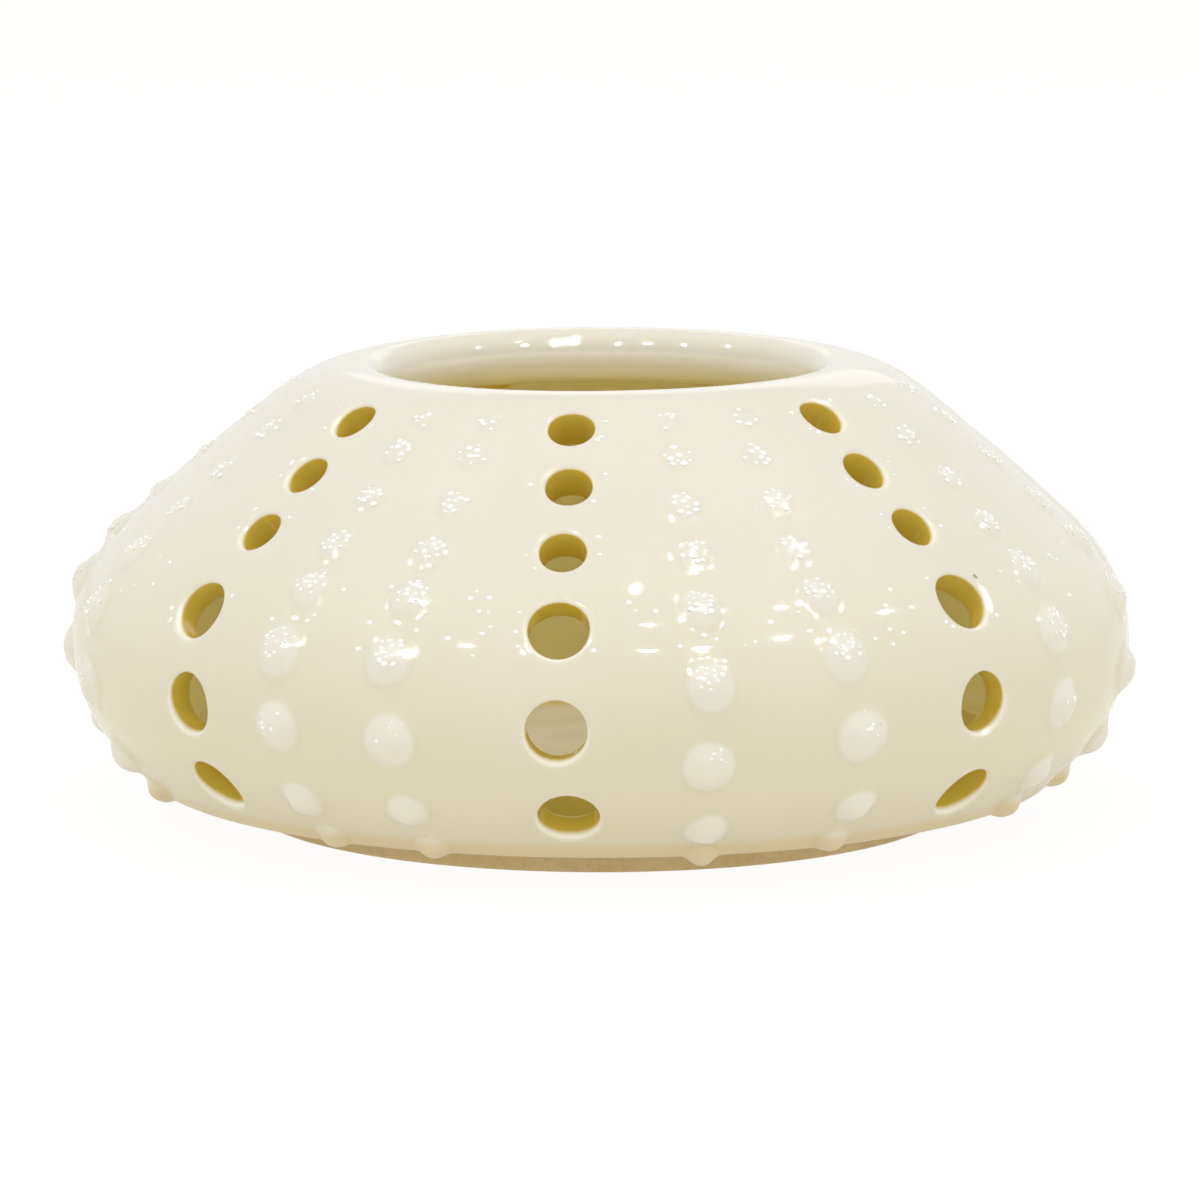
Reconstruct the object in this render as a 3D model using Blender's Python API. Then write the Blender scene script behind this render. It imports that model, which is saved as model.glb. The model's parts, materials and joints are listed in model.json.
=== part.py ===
"""Flower frog: a pierced and beaded stoneware vase in the shape of a sea urchin's shell.

Metres, +Z up. The origin is the centre of the foot, on the table. Azimuth 0 points along -Y and
grows towards +X. Seven columns of stem holes run down the wall, and two rows of slip beads stand
between each pair of columns. The clay and slip pieces touch in life; here each one is its own
solid, with a joint gap between neighbours.
"""

import math

import bmesh
import bpy
from mathutils import Vector

MM = 0.001
JOINT_GAP = 0.3 * MM

# Outer outline of the wall, from the lower edge up to the crest of the lip (radius, height).
OUTLINE = (
    (64.6 * MM, 5.4 * MM),      # lower edge, above its rounding
    (69.9 * MM, 11.0 * MM),     # lower flank
    (74.0 * MM, 18.2 * MM),
    (74.7 * MM, 27.6 * MM),     # widest between these two
    (70.9 * MM, 36.6 * MM),     # shoulder
    (62.4 * MM, 45.2 * MM),     # upper flank, nearly straight
    (53.2 * MM, 53.2 * MM),
    (44.0 * MM, 60.6 * MM),     # turn into the lip
    (39.2 * MM, 62.8 * MM),
    (34.1 * MM, 63.7 * MM),     # crest of the lip
)
WALL = 4.0 * MM
UPPER_WALL = 6.2 * MM           # the wall thickens to this towards the lip,
THICKENING = (34.0 * MM, 55.0 * MM)     # between these two heights of its outer face
LIP_RADIUS = 3.5 * MM           # the lip is rolled inwards about this radius
LIP_DROP = 4.6 * MM             # and hangs this far below the middle of the roll
LOWER_EDGE_RADIUS = 1.9 * MM
UNDERSIDE = 4.8 * MM            # height of the wall's and the floor's underside

FLOOR_RADIUS = 58.0 * MM
FLOOR_TOP = 8.8 * MM
FOOT_OUTER = 50.4 * MM
FOOT_INNER = 46.2 * MM
FOOT_CHAMFER = 0.6 * MM

# Stem holes: one height for each row, measured on the outer face, top to bottom.
HOLE_COLUMNS = 7
HOLE_HEIGHTS = (60.2 * MM, 53.1 * MM, 45.8 * MM, 36.6 * MM, 24.2 * MM, 11.3 * MM)
SMALL_HOLE_ROWS = 3
SMALL_HOLE_RADIUS = 3.1 * MM
LARGE_HOLE_RADIUS = 4.05 * MM
# The columns are spaced by eye, so some stray from even spacing (degrees, from azimuth 0 round).
COLUMN_STRAY = (0.0, -3.9, -1.9, -1.3, 0.8, 2.4, 7.9)
# The holes are cut by eye too. How far the holes of a column stand off their places, top to bottom:
# (across, down) in mm. There are three such patterns, and each column follows one of them.
HOLE_STRAYS = (
    ((-0.6, -0.2), (-0.3, -0.7), (-0.4, -0.3), (-0.3, -0.6), (-0.3, 0.3), (1.0, 0.0)),
    ((-0.5, 0.0), (-0.5, -0.8), (0.6, -1.3), (0.6, -1.4), (0.0, 0.0), (1.5, 0.6)),
    ((-0.3, 1.0), (-0.4, 0.5), (-0.5, 0.1), (-1.8, 0.9), (-0.5, 0.9), (0.0, 0.0)),
)
PATTERN_OF_COLUMN = (0, 1, 0, 2, 1, 0, 2)

# Slip beads of one row: height on the wall, width and how far the bead stands proud.
BEADS = (
    (60.5 * MM, 3.4 * MM, 0.7 * MM),
    (56.2 * MM, 3.8 * MM, 0.9 * MM),
    (50.8 * MM, 4.2 * MM, 1.1 * MM),
    (45.1 * MM, 4.6 * MM, 1.3 * MM),
    (39.7 * MM, 5.2 * MM, 1.6 * MM),
    (32.1 * MM, 6.3 * MM, 1.9 * MM),
    (22.0 * MM, 6.6 * MM, 2.0 * MM),
    (11.8 * MM, 5.8 * MM, 1.9 * MM),
    (6.2 * MM, 4.4 * MM, 1.6 * MM),
)
# Where the two rows stand between one hole column and the next, as shares of the way, from azimuth
# 0 round.
BEAD_ROW_PLACES = ((0.33, 0.63), (0.28, 0.66), (0.32, 0.64), (0.32, 0.64), (0.32, 0.64),
                   (0.25, 0.62), (0.33, 0.63))
# The lower beads of some rows are set further down than the pattern: how far, row by row, and the
# share of it that each bead of a row takes.
BEAD_ROW_SLIP = (3.2 * MM, 0.2 * MM, 0.6 * MM, 0.0, 1.2 * MM, 0.4 * MM, 0.0,
                 0.9 * MM, 0.3 * MM, 1.5 * MM, 0.2 * MM, 0.8 * MM, 0.0, 0.3 * MM)
BEAD_SLIP_SHARE = (0.0, 0.0, 0.0, 0.0, 0.4, 0.9, 1.0, 1.0, 0.5)
# How far the beads of a row stand to one side of the row's line, in mm, top to bottom. There are
# three such patterns, and each row follows one of them.
BEAD_STRAYS = (
    (0.6, 0.3, -0.1, -0.2, -0.4, -0.3, -0.5, 0.5, 0.8),
    (0.6, -0.6, -0.8, -1.4, -1.0, 0.4, 2.2, 3.6, 2.9),
    (0.7, 0.1, 0.0, -0.9, -1.2, -2.4, -1.8, -0.8, 0.4),
)
PATTERN_OF_ROW = (0, 1, 2, 0, 1, 2, 0, 2, 1, 0, 0, 2, 2, 2)
TRAIL_WIDTH = 1.6 * MM          # the thin slip trail that joins the beads of a row
TRAIL_HEIGHT = 0.7 * MM

TURN_STEPS = 64                 # facets round the turned pieces
HOLE_SIDES = 16
OUTER_SPANS = 13                # spans of the wall's outline, outside and inside
INNER_SPANS = 9
LIP_SPANS = 6
CURVE_SAMPLES = 400


# ---------------------------------------------------------------- scene and materials

def clear_scene():
    for thing in list(bpy.data.objects):
        bpy.data.objects.remove(thing, do_unlink=True)


def make_material(name, colour, roughness):
    material = bpy.data.materials.new(name)
    material.use_nodes = True
    shader = material.node_tree.nodes["Principled BSDF"]
    shader.inputs["Base Color"].default_value = (*colour, 1.0)
    shader.inputs["Roughness"].default_value = roughness
    shader.inputs["Metallic"].default_value = 0.0
    return material


def add_object(name, mesh, material=None):
    piece = bpy.data.objects.new(name, mesh)
    bpy.context.scene.collection.objects.link(piece)
    if material:
        mesh.materials.append(material)
    return piece


# ---------------------------------------------------------------- wall outline

def spline_point(points, index, t):
    """Catmull-Rom point between points[index] and points[index + 1]."""
    last = len(points) - 1
    p1 = points[index]
    p2 = points[index + 1]
    p0 = points[index - 1] if index > 0 else 2 * p1 - p2
    p3 = points[index + 2] if index + 2 <= last else 2 * p2 - p1
    return 0.5 * (2 * p1 + (p2 - p0) * t
                  + (2 * p0 - 5 * p1 + 4 * p2 - p3) * t ** 2
                  + (3 * p1 - p0 - 3 * p2 + p3) * t ** 3)


class Outline:
    """The wall's outer outline, read by distance along it from the lower edge.

    Below zero the outline follows the rounding of the lower edge, then the flat underside.
    """

    def __init__(self, points):
        knots = [Vector(p) for p in points]
        spans = len(knots) - 1
        self.samples = []
        for step in range(CURVE_SAMPLES + 1):
            place = step / CURVE_SAMPLES * spans
            index = min(int(place), spans - 1)
            self.samples.append(spline_point(knots, index, place - index))
        self.lengths = [0.0]
        for a, b in zip(self.samples, self.samples[1:]):
            self.lengths.append(self.lengths[-1] + (b - a).length)
        self.length = self.lengths[-1]
        start = self.samples[0]
        along = (self.samples[1] - start).normalized()
        self.edge_angle = math.atan2(-along.x, along.y)
        self.edge_centre = start - LOWER_EDGE_RADIUS * Vector((along.y, -along.x))

    def edge_turn(self, distance):
        """Direction of the normal, as an angle, at a distance below the outline's start."""
        return max(self.edge_angle + distance / LOWER_EDGE_RADIUS, -math.pi / 2)

    def point(self, distance):
        if distance < 0.0:
            angle = self.edge_turn(distance)
            turned = (self.edge_angle - angle) * LOWER_EDGE_RADIUS
            rim = Vector((math.cos(angle), math.sin(angle))) * LOWER_EDGE_RADIUS
            return self.edge_centre + rim + Vector((distance + turned, 0.0))
        distance = min(distance, self.length)
        for index in range(1, len(self.lengths)):
            if self.lengths[index] >= distance:
                break
        before = self.lengths[index - 1]
        share = (distance - before) / (self.lengths[index] - before)
        return self.samples[index - 1].lerp(self.samples[index], share)

    def normal(self, distance):
        """Unit vector out of the wall, as (radial, up)."""
        if distance < 0.0:
            angle = self.edge_turn(distance)
            return Vector((math.cos(angle), math.sin(angle)))
        reach = 0.5 * MM
        along = self.point(distance + reach) - self.point(max(distance - reach, 0.0))
        return Vector((along.y, -along.x)).normalized()

    def distance_at_height(self, height):
        for index, sample in enumerate(self.samples):
            if sample.y >= height:
                return self.lengths[index]
        return self.length


def on_wall(outline, distance, azimuth, lift):
    """World point at a distance up the outline, lifted off the wall's outer face."""
    flat = outline.point(distance) + outline.normal(distance) * lift
    return Vector((flat.x * math.sin(azimuth), -flat.x * math.cos(azimuth), flat.y))


def wall_thickness(outline, distance):
    start, end = THICKENING
    share = (outline.point(distance).y - start) / (end - start)
    share = min(max(share, 0.0), 1.0)
    return WALL + (UPPER_WALL - WALL) * share * share * (3 - 2 * share)


def arc(centre, radius, start, end, spans):
    points = []
    for step in range(spans + 1):
        angle = math.radians(start + (end - start) * step / spans)
        points.append(Vector((centre[0] + radius * math.cos(angle),
                              centre[1] + radius * math.sin(angle))))
    return points


def wall_section(outline):
    """Closed section of the wall, running down its outer side from the crest of the lip."""
    crest = outline.point(outline.length)
    outer = []
    for step in range(OUTER_SPANS):
        outer.append(outline.point(outline.length * (1 - step / OUTER_SPANS)))
    edge_angle = math.degrees(outline.edge_angle)
    edge = arc(outline.edge_centre, LOWER_EDGE_RADIUS, edge_angle, -90.0, 2)
    seat_radius = FLOOR_RADIUS + JOINT_GAP
    seat = [Vector((seat_radius, edge[-1].y)), Vector((seat_radius, FLOOR_TOP))]
    inner_start = outline.distance_at_height(9.6 * MM)
    inner_end = outline.distance_at_height(61.4 * MM)
    inner = []
    for step in range(INNER_SPANS + 1):
        distance = inner_start + (inner_end - inner_start) * step / INNER_SPANS
        thickness = wall_thickness(outline, distance)
        inner.append(outline.point(distance) - outline.normal(distance) * thickness)
    lip = arc((0.0, 0.0), 1.0, 250.0, 108.0, LIP_SPANS)
    for point in lip:
        point.x = crest.x + point.x * LIP_RADIUS
        point.y = crest.y - LIP_RADIUS + point.y * (LIP_RADIUS if point.y > 0 else LIP_DROP)
    return outer + edge + seat + inner + lip


# ---------------------------------------------------------------- turned pieces

def turned_piece(name, section, material):
    """Turn a closed (radius, height) section about the Z axis with a Screw modifier."""
    mesh = bpy.data.meshes.new(name)
    points = [(p[0], 0.0, p[1]) for p in section]
    count = len(points)
    mesh.from_pydata(points, [(i, (i + 1) % count) for i in range(count)], [])
    piece = add_object(name, mesh, material)
    screw = piece.modifiers.new("turn", 'SCREW')
    screw.axis = 'Z'
    screw.steps = TURN_STEPS
    screw.render_steps = TURN_STEPS
    screw.use_merge_vertices = True
    screw.merge_threshold = 0.00001
    screw.use_smooth_shade = True
    return piece


def make_foot_ring(material):
    top = UNDERSIDE - JOINT_GAP
    section = [
        (FOOT_INNER, top),
        (FOOT_OUTER, top),
        (FOOT_OUTER, FOOT_CHAMFER),
        (FOOT_OUTER - FOOT_CHAMFER, 0.0),
        (FOOT_INNER + FOOT_CHAMFER, 0.0),
        (FOOT_INNER, FOOT_CHAMFER),
    ]
    return turned_piece("foot_ring", section, material)


def make_base_floor(material):
    """Round slab that closes the bottom."""
    height = FLOOR_TOP - UNDERSIDE
    body = bmesh.new()
    bmesh.ops.create_cone(body, cap_ends=True, segments=TURN_STEPS, radius1=FLOOR_RADIUS,
                          radius2=FLOOR_RADIUS, depth=height)
    mesh = bpy.data.meshes.new("base_floor")
    body.to_mesh(mesh)
    body.free()
    mesh.shade_smooth()
    mesh.set_sharp_from_angle(angle=math.radians(40))
    floor = add_object("base_floor", mesh, material)
    floor.location = (0.0, 0.0, UNDERSIDE + height / 2)
    return floor


# ---------------------------------------------------------------- stem holes

def column_azimuth(column):
    """Azimuth of a hole column; column 7 is column 0, once round."""
    turn = column // HOLE_COLUMNS * 360.0
    place = column % HOLE_COLUMNS
    return math.radians(turn + place * 360.0 / HOLE_COLUMNS + COLUMN_STRAY[place])


def make_hole_cutters(outline):
    """One guide object that holds a drill for every stem hole, square to the wall."""
    drills = bmesh.new()
    depth = 3 * WALL
    for column in range(HOLE_COLUMNS):
        strays = HOLE_STRAYS[PATTERN_OF_COLUMN[column]]
        for row, (height, (across, down)) in enumerate(zip(HOLE_HEIGHTS, strays)):
            distance = outline.distance_at_height(height) - down * MM
            azimuth = column_azimuth(column) + across * MM / outline.point(distance).x
            middle = on_wall(outline, distance, azimuth, -WALL / 2)
            axis = on_wall(outline, distance, azimuth, 0.0) - middle
            radius = SMALL_HOLE_RADIUS if row < SMALL_HOLE_ROWS else LARGE_HOLE_RADIUS
            drill = bmesh.ops.create_cone(drills, cap_ends=True, segments=HOLE_SIDES,
                                          radius1=radius, radius2=radius, depth=depth)
            turn = axis.to_track_quat('Z', 'Y').to_matrix()
            bmesh.ops.rotate(drills, verts=drill["verts"], cent=(0, 0, 0), matrix=turn)
            bmesh.ops.translate(drills, verts=drill["verts"], vec=middle)
    mesh = bpy.data.meshes.new("hole_cutters")
    drills.to_mesh(mesh)
    drills.free()
    cutters = add_object("hole_cutters", mesh)
    cutters.hide_render = True
    cutters.display_type = 'WIRE'
    return cutters


def make_body_wall(outline, material):
    wall = turned_piece("body_wall", wall_section(outline), material)
    cut = wall.modifiers.new("stem holes", 'BOOLEAN')
    cut.operation = 'DIFFERENCE'
    cut.solver = 'EXACT'
    cut.object = make_hole_cutters(outline)
    return wall


# ---------------------------------------------------------------- bead rows

def bead_row_stations(outline, slip, strays):
    """(distance, stray to the side, half width, height) down one row: three stations to a bead,
    one on the trail between two beads."""
    stations = []
    trail = (TRAIL_WIDTH / 2, TRAIL_HEIGHT)
    for index, (height, width, proud) in enumerate(BEADS):
        centre = outline.distance_at_height(height) - slip * BEAD_SLIP_SHARE[index]
        stray = strays[index] * MM
        half = width / 2
        if index > 0:
            above, stray_above = stations[-1][:2]
            stations.append(((above + centre + half) / 2, (stray_above + stray) / 2, *trail))
        else:
            stations.append((centre + half, stray, *trail))
        stations.append((centre + half * 0.62, stray, half * 0.78, proud * 0.8))
        stations.append((centre, stray, half, proud))
        stations.append((centre - half * 0.62, stray, half * 0.78, proud * 0.8))
    stations.append((centre - half, stray, *trail))
    return stations


def make_bead_row(name, outline, azimuth, stations, material):
    """Nine slip beads on their trail, as one strip that follows the wall."""
    body = bmesh.new()
    rings = []
    for distance, stray, half, height in stations:
        radius = outline.point(distance).x
        section = [(-half, 0.0), (-half * 0.62, height * 0.78), (0.0, height),
                   (half * 0.62, height * 0.78), (half, 0.0)]
        ring = []
        for across, lift in section:
            turn = (stray + across) / radius
            point = on_wall(outline, distance, azimuth + turn, JOINT_GAP + lift)
            ring.append(body.verts.new(point))
        rings.append(ring)
    for upper, lower in zip(rings, rings[1:]):
        for side in range(len(upper)):
            following = (side + 1) % len(upper)
            body.faces.new((upper[side], lower[side], lower[following], upper[following]))
    body.faces.new(rings[0])
    body.faces.new(list(reversed(rings[-1])))
    bmesh.ops.recalc_face_normals(body, faces=body.faces)
    mesh = bpy.data.meshes.new(name)
    body.to_mesh(mesh)
    body.free()
    mesh.shade_smooth()
    mesh.set_sharp_from_angle(angle=math.radians(70))
    return add_object(name, mesh, material)


def make_bead_rows(outline, material):
    for column in range(HOLE_COLUMNS):
        here = column_azimuth(column)
        there = column_azimuth(column + 1)
        for side, place in enumerate(BEAD_ROW_PLACES[column]):
            index = 2 * column + side
            azimuth = here + (there - here) * place
            strays = BEAD_STRAYS[PATTERN_OF_ROW[index]]
            stations = bead_row_stations(outline, BEAD_ROW_SLIP[index], strays)
            make_bead_row(f"bead_row_{index + 1:02d}", outline, azimuth, stations, material)


def main():
    clear_scene()
    glaze = make_material("ivory_glaze", (0.80, 0.76, 0.66), 0.18)
    floor_glaze = make_material("floor_glaze", (0.70, 0.63, 0.48), 0.25)
    slip = make_material("slip_bead_glaze", (0.84, 0.80, 0.71), 0.2)
    clay = make_material("foot_clay", (0.45, 0.35, 0.20), 0.6)
    outline = Outline(OUTLINE)
    make_body_wall(outline, glaze)
    make_base_floor(floor_glaze)
    make_foot_ring(clay)
    make_bead_rows(outline, slip)


main()
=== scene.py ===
"""Looks of the flower frog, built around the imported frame.

The wall's outline and the beads are read off the frame's own nodes, and the hole columns off the
openings in its record. Metres, +Z up. Azimuth 0 points along -Y and grows towards +X. A place on the
wall is given by its distance down the outer outline from the crest of the lip, its azimuth, and its
lift off the outer face.
"""

import json
import math

import bmesh
import bpy
import numpy as np
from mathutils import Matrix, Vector


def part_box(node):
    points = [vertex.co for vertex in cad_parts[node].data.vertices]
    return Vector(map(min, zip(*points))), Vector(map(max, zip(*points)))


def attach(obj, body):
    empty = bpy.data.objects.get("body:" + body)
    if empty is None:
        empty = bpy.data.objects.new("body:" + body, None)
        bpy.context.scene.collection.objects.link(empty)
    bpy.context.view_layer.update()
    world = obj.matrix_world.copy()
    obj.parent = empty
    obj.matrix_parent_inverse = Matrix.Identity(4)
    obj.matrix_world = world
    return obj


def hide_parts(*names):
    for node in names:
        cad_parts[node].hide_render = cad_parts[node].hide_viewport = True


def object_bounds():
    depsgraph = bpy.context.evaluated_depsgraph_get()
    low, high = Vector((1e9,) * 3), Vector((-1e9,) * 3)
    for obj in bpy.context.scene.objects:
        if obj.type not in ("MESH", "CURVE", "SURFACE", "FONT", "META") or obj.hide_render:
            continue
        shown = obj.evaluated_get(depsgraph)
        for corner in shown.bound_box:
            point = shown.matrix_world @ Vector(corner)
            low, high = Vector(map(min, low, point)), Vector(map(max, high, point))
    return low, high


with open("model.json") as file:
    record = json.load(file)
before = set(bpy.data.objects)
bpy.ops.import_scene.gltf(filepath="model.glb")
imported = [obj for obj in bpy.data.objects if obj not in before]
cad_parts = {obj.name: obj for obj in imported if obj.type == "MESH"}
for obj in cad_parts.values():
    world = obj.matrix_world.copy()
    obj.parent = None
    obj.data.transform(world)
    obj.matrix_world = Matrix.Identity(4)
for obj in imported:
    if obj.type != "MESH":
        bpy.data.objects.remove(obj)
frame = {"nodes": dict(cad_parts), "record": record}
cad_low, cad_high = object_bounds()

MM = 0.001
ROOT = "root"

# Wall and stem holes
WALL = 4.0 * MM
UPPER_WALL = 6.2 * MM           # the wall thickens to this towards the lip,
THICKENING = (34.0 * MM, 55.0 * MM)     # between these two heights of its outer face
HOLE_HEIGHTS = (60.2 * MM, 53.1 * MM, 45.8 * MM, 36.6 * MM, 24.2 * MM, 11.3 * MM)
HOLE_RADII = (3.1 * MM, 3.1 * MM, 3.1 * MM, 4.05 * MM, 4.05 * MM, 4.05 * MM)
HOLE_COLUMNS = 7
# The holes are cut by eye: (across, down) of each off its place, in mm, top to bottom. There are
# three such patterns, and each column follows one of them.
HOLE_STRAYS = (
    ((-0.6, -0.2), (-0.3, -0.7), (-0.4, -0.3), (-0.3, -0.6), (-0.3, 0.3), (1.0, 0.0)),
    ((-0.5, 0.0), (-0.5, -0.8), (0.6, -1.3), (0.6, -1.4), (0.0, 0.0), (1.5, 0.6)),
    ((-0.3, 1.0), (-0.4, 0.5), (-0.5, 0.1), (-1.8, 0.9), (-0.5, 0.9), (0.0, 0.0)),
)
PATTERN_OF_COLUMN = (0, 1, 0, 2, 1, 0, 2)
MIDDLE_ROW = 4                  # the row that the record's middle openings stand in
LIP_DROP = 4.6 * MM             # how far the rolled lip hangs below the middle of its roll
LIP_ANGLES = (248.0, 215.0, 180.0, 150.0, 120.0, 90.0)  # degrees round the roll, from under to crest
TOP_ROUNDING = 0.6 * MM         # glaze-softened outer edge of a hole, at its top and at its bottom
BOTTOM_ROUNDING = 1.35 * MM
INNER_ROUNDING = 0.5 * MM       # and its inner edge
PATCH_TOP = 5.3 * MM            # how far the first and last hole patch reach past the hole centre
PATCH_BOTTOM = 6.2 * MM
STRIP_HALF_ANGLE = math.radians(7.2)    # half the width of the strip of wall that holds a column
PLAIN_MERIDIAN = math.radians(22.5)     # the CAD's section is read here, clear of the holes
DEPTH_START = 2.5 * MM          # the painted amber shade inside starts this far below the crest, and takes this much further to reach its full depth
DEPTH_FADE = 9 * MM             # and takes this much further to reach its full depth
AMBER_SHADE_LIFT = -0.8               # lift for the painted amber shade at a bore's ends and the floor's edge; it is -1 in a bore

# Unevenness of a pot made by hand
OUT_OF_ROUND = ((2, 0.25, 0.8), (3, 0.15, 2.1), (5, 0.08, 4.0))     # (waves, mm, phase)
THROWING_RING = 0.012 * MM
THROWING_GAP = 4.6 * MM
RIM_TILT = 0.3 * MM
RIM_WAVE = 0.12 * MM
RIM_SINK = 0.3 * MM

# Floor and foot
FLOOR_POINTS = 40
FINGER_MARK = 0.03 * MM         # height of the finger marks on the floor, and the gap between them
FINGER_GAP = 11 * MM
FLOOR_CORNER_SHADE = (24 * MM, 13 * MM)    # painted amber shade of the floor's corner with the wall starts this far out on the floor, and its width
FOOT_CORNER = 0.7 * MM
FOOT_FLARE = 0.9 * MM

# Slip beads
FIRM_SHARE = 0.70               # share of a bead's skirt that reads as the bead
MELTED_SHARE = 0.60
FIRM_SHARPNESS = 2.4            # higher is flatter on top and steeper at the skirt
MELTED_SHARPNESS = 2.0
FIRM_HEIGHT = 0.80              # height of a firm and of a melted bead, as shares of its CAD height
MELTED_HEIGHT = 0.25
MELTED_WHITENESS = 0.25         # how much a melted bead pales the glaze over it
SWELL_LENGTH = (1.6 * MM, 2.6 * MM)     # length of the small swells on a bead, and their height
SWELL_HEIGHT = 0.010 * MM
SWELL_WAVES = 3
# Tiny blisters stand in the glaze over the beads, their tops painted white as glints: how many on
# each bead of a row and their radius, top to bottom
BLISTERS = ((5, 0.42 * MM), (9, 0.42 * MM), (10, 0.40 * MM), (11, 0.38 * MM), (14, 0.36 * MM),
            (14, 0.33 * MM), (5, 0.27 * MM), (0, 0.0), (0, 0.0))
BLISTER_GAP = 1.9               # middles of neighbours are at least this many radii apart
BLISTER_TRIES = 20              # places tried for each blister over a bead
BLISTER_HEIGHT = 0.42           # height of a blister, as a share of its radius
BLISTER_SHARES = (0.0, 0.3, 0.55, 0.75, 0.9, 1.0, 0.9)      # its outline, from its top to its sunk base:
BLISTER_RISES = (1.0, 0.95, 0.8, 0.55, 0.25, 0.0, -1.2)     # shares of its radius, and of its height
BLISTER_LIFT = 0.6              # the glaze reads this much more lift on top of a blister than at its foot, and paints that top white as a glint
RIM_BLISTERS = 4                # blisters beside each of the holes in the upper rows
RIM_BLISTER_ROWS = 4
LOOSE_BLISTERS = 22             # and scattered on the wall between two hole columns
LOOSE_BAND = (33 * MM, 41 * MM)     # heights between which those lie
FIRST_FIRM_BEAD = 6             # beads from this one down the row stand firm
BEAD_FOOTING = 0.5 * MM         # how deep a bead's closed underside sits in the wall
SKIRT_SINK = 0.006 * MM         # and how far the rim of its skirt dips into the wall's face
BEAD_STRAY = 0.12               # spread of a bead's place down the wall, in mm,
BEAD_TURN = 0.0015              # and round it, in radians
STATION_GAP = 0.15 * MM         # stations of a CAD row stand further apart than this

# Colours (linear)
GLAZE_HIGH = (0.79, 0.75, 0.635)
# painted shade: the glaze's colour low on the wall, darker and warmer than at the top
GLAZE_LOW_PAINTED_SHADE = (0.74, 0.69, 0.50)
GLAZE_CLOUD = (0.97, 0.97, 0.945)
# painted shade: a faint darker ring round the foot of each bead
BEAD_FOOT_SHADE = (0.95, 0.945, 0.90)
GLAZE_OVER_SLIP = (0.80, 0.765, 0.66)
# painted highlight: the white of the blisters' tops, standing in for glints
BLISTER_GLINT_WHITE = (0.98, 0.98, 0.96)
# painted light: the inner floor's glaze, paler and warmer than the wall's, to lift the shade inside the
# pot
FLOOR_GLAZE_PAINTED_LIGHT = (0.95, 0.91, 0.76)
# painted light: paler glaze just inside the lip, against the shade under it
UNDER_LIP_PAINTED_LIGHT = (0.97, 0.93, 0.80)
# painted shade: amber deep inside the pot, where it is shaded and lit by light bounced off the glaze
INSIDE_AMBER_SHADE = (0.94, 0.89, 0.47)
# painted shade: amber in the bores of the holes
HOLE_AMBER_SHADE = (0.71, 0.53, 0.065)
GLAZE_GRAIN = (0.70, 0.62, 0.42)
IRON_SPECK = (0.22, 0.14, 0.07)
CLAY_BARE = (0.67, 0.53, 0.26)
# the foot's glazed clay tone, also used as the painted shade round the wall's lower edge
GLAZED_CLAY_AND_EDGE_SHADE = (0.71, 0.58, 0.30)
CLAY_GRAIN = (0.50, 0.37, 0.17)

# Where the glaze and the clay change
LOW_SHADE_HEIGHTS = (50 * MM, 6 * MM)       # from the glaze's high colour down to its low one: painted shade, darker and warmer towards the bottom
EDGE_SHADE_HEIGHTS = (3.2 * MM, 1.2 * MM)    # above the underside: painted shade, a darker tan band, runs from here to here
EDGE_SHADE_SHARE = 0.8
CLOUD_SIZE = 14 * MM
GRAIN_SIZE = 1.2 * MM
IRON_SCATTER = (6 * MM, 0.4 * MM, 0.09)     # spacing of the specks' cells, radius of the widest speck
GROG_SCATTER = (1.6 * MM, 0.22 * MM, 0.2)   # and share of the cells that hold one
RIPPLE = (6 * MM, 0.07 * MM)            # size and depth of the glaze's ripples,
FINE_RIPPLE = (1.1 * MM, 0.008 * MM)    # and of the finer ones on them

# Studio
FLOOR_COLOUR = (0.86, 0.83, 0.74)
FLOOR_SEEN_GLOW = 0.90          # share of the floor that is its own light, as the lens sees it,
FLOOR_GLOW = 0.36               # and as the pot does
FLOOR_SIZE = 6.0
FLOOR_LIGHT = 1.04
SKY_HORIZON = 0.93
SKY_OVERHEAD = 0.74
SKY_FADE = 0.75                 # sine of the elevation where the overhead strength is reached
PANEL_DISTANCE = 1.2
PANEL_AIM = Vector((0, 0, 0.035))
CAMERA_LENS = 193.2             # millimetres, as is the sensor
CAMERA_SENSOR = 36.0
CAMERA_AZIMUTH = math.radians(4.2)
CAMERA_ELEVATION = math.radians(9.2)
CAMERA_DISTANCE = 0.912
CAMERA_PIVOT = Vector((0, 0, 0.0316))   # the camera stands this far back from here
CAMERA_AIM = Vector((0, 0, 0.029))      # and looks here
# Rings of panels: elevation, azimuths, (width, height) and power of each panel. The soft ones light
# the clay and the sparkling ones show only in the glaze's mirror.
BACK_SHEEN = 20                 # elevation of the one soft panel that the lip mirrors
SOFT_RINGS = (
    (40, (-60, 5, 70), (0.5, 0.5), 0.8),
    (84, (0,), (0.4, 0.4), 3.2),
    (BACK_SHEEN, (180,), (0.5, 0.3), 0.15),
)
SPARKLE_RINGS = (
    (46, (-88, -54, -31, -12, 17, 30, 53, 90), (0.045, 0.02), 3.5),
    (62, (22, 40, 74), (0.015, 0.02), 2.5),
    (80, (36,), (0.02, 0.02), 1.6),
)

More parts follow.
